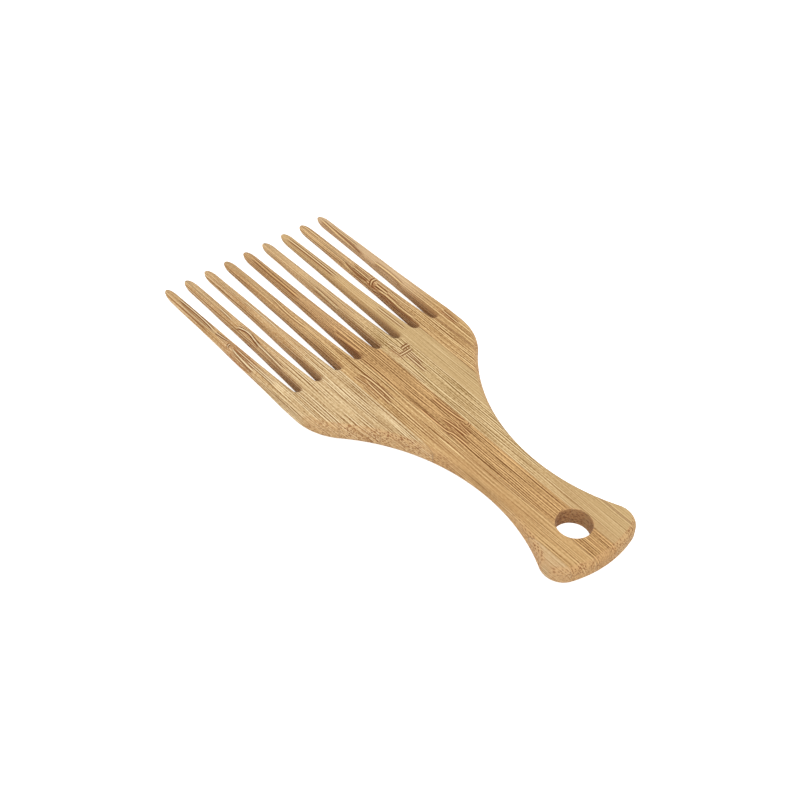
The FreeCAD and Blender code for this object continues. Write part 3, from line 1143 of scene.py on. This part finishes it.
STRIP_FINISHES = (
    BambooFinish(Tone.PALE, 1, (Knot(-32.5, 45, 3.2, 11, 0.9, 0.8), Knot(-33.2, 70, 0.9, 13, 0, 0.35)), (
        Strand(((-32.4, 57), (-31.9, 60.5), (-31.65, 66), (-31.85, 78)), 0.2),
        Strand(((-31.4, 50.5), (-31.9, 53), (-32.3, 57)), core=0.8),
        Strand(((-33, 60), (-32.9, 76)), core=0.3, rim=0.5),
        Strand(((-33.6, 35), (-33.2, 44), (-32.7, 48)), 0.15, rim=0.7),
        Strand(((-32.9, 26), (-32.8, 40)), 0.15, rim=0.4),
        Strand(((-32.3, 25), (-32.2, 38), (-32, 47.5)), core=0.8, rim=0.6),
        Strand(((-33.4, 48.8), (-32.8, 49.6), (-32, 49.3)), 0.2, True, 0.9),
    ), contrast=1.2, tooth_colour=(212, 166, 110), tooth_share=0.5),
    BambooFinish(Tone.PALE, 2, (Knot(-26.9, 47.5, 1.7, 5.5, 0.5, 0.65), Knot(-25.6, 71, 0.9, 12, 0, 0.15)), (
        Strand(((-25.3, 42.5), (-24.9, 46), (-24.35, 50.2), (-24.6, 52.5), (-25.6, 55.5)), 0.2),
        Strand(((-26, 30), (-25.5, 38), (-25.15, 45.5)), 0.16, rim=0.6),
        Strand(((-24, 48.5), (-23.9, 51.5), (-24.6, 55.5)), 0.16, False, 0.5, 0.5),
        Strand(((-24.6, 58.5), (-24.3, 65.5)), 0.15, rim=0.6),
    ), tooth_colour=(214, 168, 114)),
    BambooFinish(
        Tone.PALE, 3, (Knot(-17, 68, 0.9, 16, 0, 0.2), Knot(-14.8, -78, 6, 24, 0, 0.36)),
        (Strand(((-16, 45), (-15.9, 54), (-16, 64)), 0.17, rim=0.4),),
        tooth_colour=(214, 169, 116), calm=(-60, -30, 0.35)),
    BambooFinish(
        Tone.STRAW, 4,
        (Knot(-9.6, 7, 3.2, 7, 0.9, 0.35), Knot(-9.1, 70, 0.9, 16, 0, 0.25), Knot(-8, -40, 8, 40, 0, 0.19)),
        (
        Strand(((-8.6, -2), (-8.3, 8.5), (-9.4, 14.5)), 0.25, rim=0.92),
        Strand(((-10.2, -3), (-9.7, 9.8)), 0.22, rim=0.88),
        Strand(((-10.6, 8), (-11.3, 14)), core=0.7, rim=0.85),
        Strand(((-11.9, 1), (-11.6, 9)), core=0.4, rim=0.75),
        Strand(((-8.5, 40), (-8.8, 47), (-8.7, 51), (-8.3, 56), (-8, 60)), rim=0.6),
    ), stain=0.04, calm=(-40, -8, 0.55)),
    BambooFinish(Tone.HONEY, 5, (Knot(-1, -22, 4.6, 5, 1, 0.37), Knot(0.4, 42, 3.2, 16, 0, 0.15)), (
        Strand(((-3.4, -31), (-3.6, -23.5), (-4.4, -20.5), (-4.5, -8)), 0.24, rim=0.9),
        Strand(((-1, -27), (-1.2, -21.5), (-1.9, -16)), 0.22, rim=0.95),
        Strand(((0.3, -27), (0.8, -21)), core=0.7, rim=0.85),
        Strand(((2.9, -22.5), (1.9, -16.5), (1.7, -7)), 0.24, rim=0.92),
        Strand(((2, -22.8), (2.7, -23.4), (3.4, -22.6)), across=True),
        Strand(((-1, 53), (-0.85, 60), (-0.7, 70), (-0.45, 81)), 0.2, rim=0.8),
        Strand(((-2.2, 21), (-2.2, 35)), 0.2, rim=0.6),
    ), stain=0.08, contrast=1.15, tooth_colour=(218, 178, 130), calm=(-64, -36, 0.78)),
    BambooFinish(Tone.OLIVE, 6, (Knot(6, 13.5, 3.4, 4, 0.3, 0.5), Knot(6, -55, 8, 50, 0, 0.19)), (
        Strand(((8.4, 14.2), (10, 14.5), (12, 14.5)), 0.28, True, 0.5, 0.95),
        Strand(((6, 12.4), (8, 12.4), (11.4, 12.6)), 0.25, True, 0.8, 0.9),
        Strand(((7.9, 1.5), (8.1, 12)), 0.23, rim=0.9),
        Strand(((4.3, -2), (4.2, 11)), rim=0.5),
        Strand(((9.2, 5), (9.7, 12)), rim=0.95),
        Strand(((7.9, 15.2), (6.9, 19.4)), 0.22, rim=0.4),
        Strand(((6.1, 42), (6.4, 50), (6.5, 56)), rim=0.5),
        Strand(((8, 36), (8.1, 44), (8.2, 52)), 0.15, rim=0.5),
    ), contrast=1.2, tooth_colour=(222, 183, 135), tooth_share=0.6, calm=(-72, -34, 0.28)),
    BambooFinish(Tone.OLIVE, 7, (Knot(15.1, 68, 0.9, 15, 0, 0.12),), (
        Strand(((15.2, 54), (15.4, 68), (15.3, 82)), rim=0.9),
        Strand(((16.1, 53), (16.2, 72)), 0.15, rim=0.6),
        Strand(((15.6, 20), (15.6, 35)), 0.2, rim=0.7),
        Strand(((12.85, -90), (12.85, -66)), 0.1, core=0.3, rim=0.8),
    ), contrast=0.42, tooth_colour=(214, 175, 124)),
    BambooFinish(Tone.STRAW, 8, (Knot(21.6, 43, 2.8, 14, 0.6, 0.9),), (
        Strand(((21.9, 44.9), (23.2, 45.8), (24.8, 45.3)), 0.3, True, 0.7),
        Strand(((22, 46.6), (21.9, 51), (22.4, 60)), 0.2, rim=0.8),
        Strand(((22.9, 46.8), (23.2, 56)), 0.16, rim=0.8),
        Strand(((24.1, 46.5), (24.4, 57)), 0.18, rim=0.8),
        Strand(((22.9, 37.5), (23, 44)), 0.2),
        Strand(((21.9, 22), (21.9, 30), (22.3, 37), (22.2, 43)), rim=0.6),
        Strand(((23.9, 27), (23.7, 33), (24.3, 39)), 0.16, rim=0.6),
        Strand(((23.9, 74), (23.9, 84)), rim=0.4),
    ), stain=0.1, contrast=1.15, tooth_colour=(224, 184, 136)),
    BambooFinish(Tone.STRAW, 9, (Knot(31, 17.5, 2.4, 6, 0.6, 0.5), Knot(30.5, 71, 0.9, 14, 0, 0.4)), (
        Strand(((31, 12), (31.2, 20.5))),
        Strand(((26.9, 0), (26.8, 18)), core=0.8),
        Strand(((30, 58), (30.3, 66), (30.55, 73), (31, 83)), 0.17, rim=0.75),
        Strand(((31.2, 62), (31.4, 78)), 0.15, rim=0.6),
        Strand(((30.1, 38), (30.6, 46), (30.5, 54)), rim=0.5),
    ), stain=0.06, contrast=0.75, tooth_colour=(220, 187, 146), tooth_share=0.8),
)


@dataclass(frozen=True)
class Studio:
    """Camera, pale floor and soft light, with the camera's clipping, the floor and the lamp in metres."""

    picture_width: int = 800
    azimuth: float = -44.272
    elevation: float = 44.605
    roll: float = 4.700
    focal_pixels: float = 1608.771
    distance: float = 509.476
    centre_x: float = 366.135
    centre_y: float = 363.408
    aim_y: float = 21.0
    sensor_width: float = 36.0
    clip: tuple[float, float] = (0.01, 50.0)
    world_level: float = 0.84
    lamp_power: float = 4.0
    lamp_size: float = 0.9
    lamp_place: tuple[float, float, float] = (-0.45, -0.35, 1.05)
    floor_radius: float = 4.0
    floor_level: float = 0.8

    def camera(self) -> None:
        """Put the camera where the photograph was taken from, found from the pick's outline."""
        a, e, r = (math.radians(v) for v in (self.azimuth, self.elevation, self.roll))
        back = Vector((math.sin(a) * math.cos(e), -math.cos(a) * math.cos(e), math.sin(e)))
        level = Vector((math.cos(a), math.sin(a), 0.0))
        raised = back.cross(level)
        right = math.cos(r) * level + math.sin(r) * raised
        up = -math.sin(r) * level + math.cos(r) * raised
        middle = self.picture_width / 2
        aside = (self.centre_x - middle) * self.distance / self.focal_pixels
        above = -(self.centre_y - middle) * self.distance / self.focal_pixels
        place = Vector((0.0, self.aim_y, 0.0)) - aside * right - above * up + self.distance * back
        data = bpy.data.cameras.new("camera")
        data.sensor_width = self.sensor_width
        data.lens = self.sensor_width * self.focal_pixels / self.picture_width
        data.clip_start, data.clip_end = self.clip
        turned = Matrix((right, up, back)).transposed().to_4x4()
        bpy.context.scene.camera = add_object("camera", data, Matrix.Translation(place * MM) @ turned)

    def world(self) -> None:
        """White to the camera, and a plain level of light on the object."""
        graph = Graph(bpy.data.worlds.new("studio"))
        level = graph.fit(graph.seen(), 1.0 - self.world_level, self.world_level)
        bpy.context.scene.world = graph.dress({"Color": (1.0, 1.0, 1.0, 1.0), "Strength": level})

    def floor(self) -> None:
        """Pale floor under the pick, which keeps its shadow."""
        mesh = bpy.data.meshes.new("floor")
        r = self.floor_radius
        mesh.from_pydata([(-r, -r, 0.0), (r, -r, 0.0), (r, r, 0.0), (-r, r, 0.0)], [], [(0, 1, 2, 3)])
        floor = add_object("floor", mesh)
        level = self.floor_level
        graph = Graph(bpy.data.materials.new("floor_card"))
        mesh.materials.append(graph.dress({
            "Base Color": (level, level, level, 1.0),
            "Roughness": 1.0,
            "Specular IOR Level": 0.0,
            "Emission Color": (1.0, 1.0, 1.0, 1.0),
            "Emission Strength": graph.product(graph.seen(), level),
        }))
        floor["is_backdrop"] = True

    def lamp(self) -> None:
        """One large soft lamp above the camera."""
        data = bpy.data.lights.new("softbox", "AREA")
        data.shape = "DISK"
        data.size = self.lamp_size
        data.energy = self.lamp_power
        place = Vector(self.lamp_place)
        turned = place.to_track_quat("Z", "Y").to_matrix().to_4x4()
        add_object("softbox", data, Matrix.Translation(place) @ turned)

    def build(self) -> None:
        """Set up everything round the pick."""
        bpy.context.scene.view_settings.view_transform = "Standard"
        self.camera()
        self.world()
        self.floor()
        self.lamp()


def corners() -> list[list[float]]:
    """The whole object's lowest and highest corner as plain numbers."""
    return [[float(v) for v in corner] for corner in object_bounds()]


def main() -> None:
    """Load the frame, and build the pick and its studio."""
    logging.basicConfig(level=logging.INFO, format="%(name)s: %(message)s")
    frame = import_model()
    Pick(frame).build()
    Studio().build()


if __name__ == "__main__":
    main()
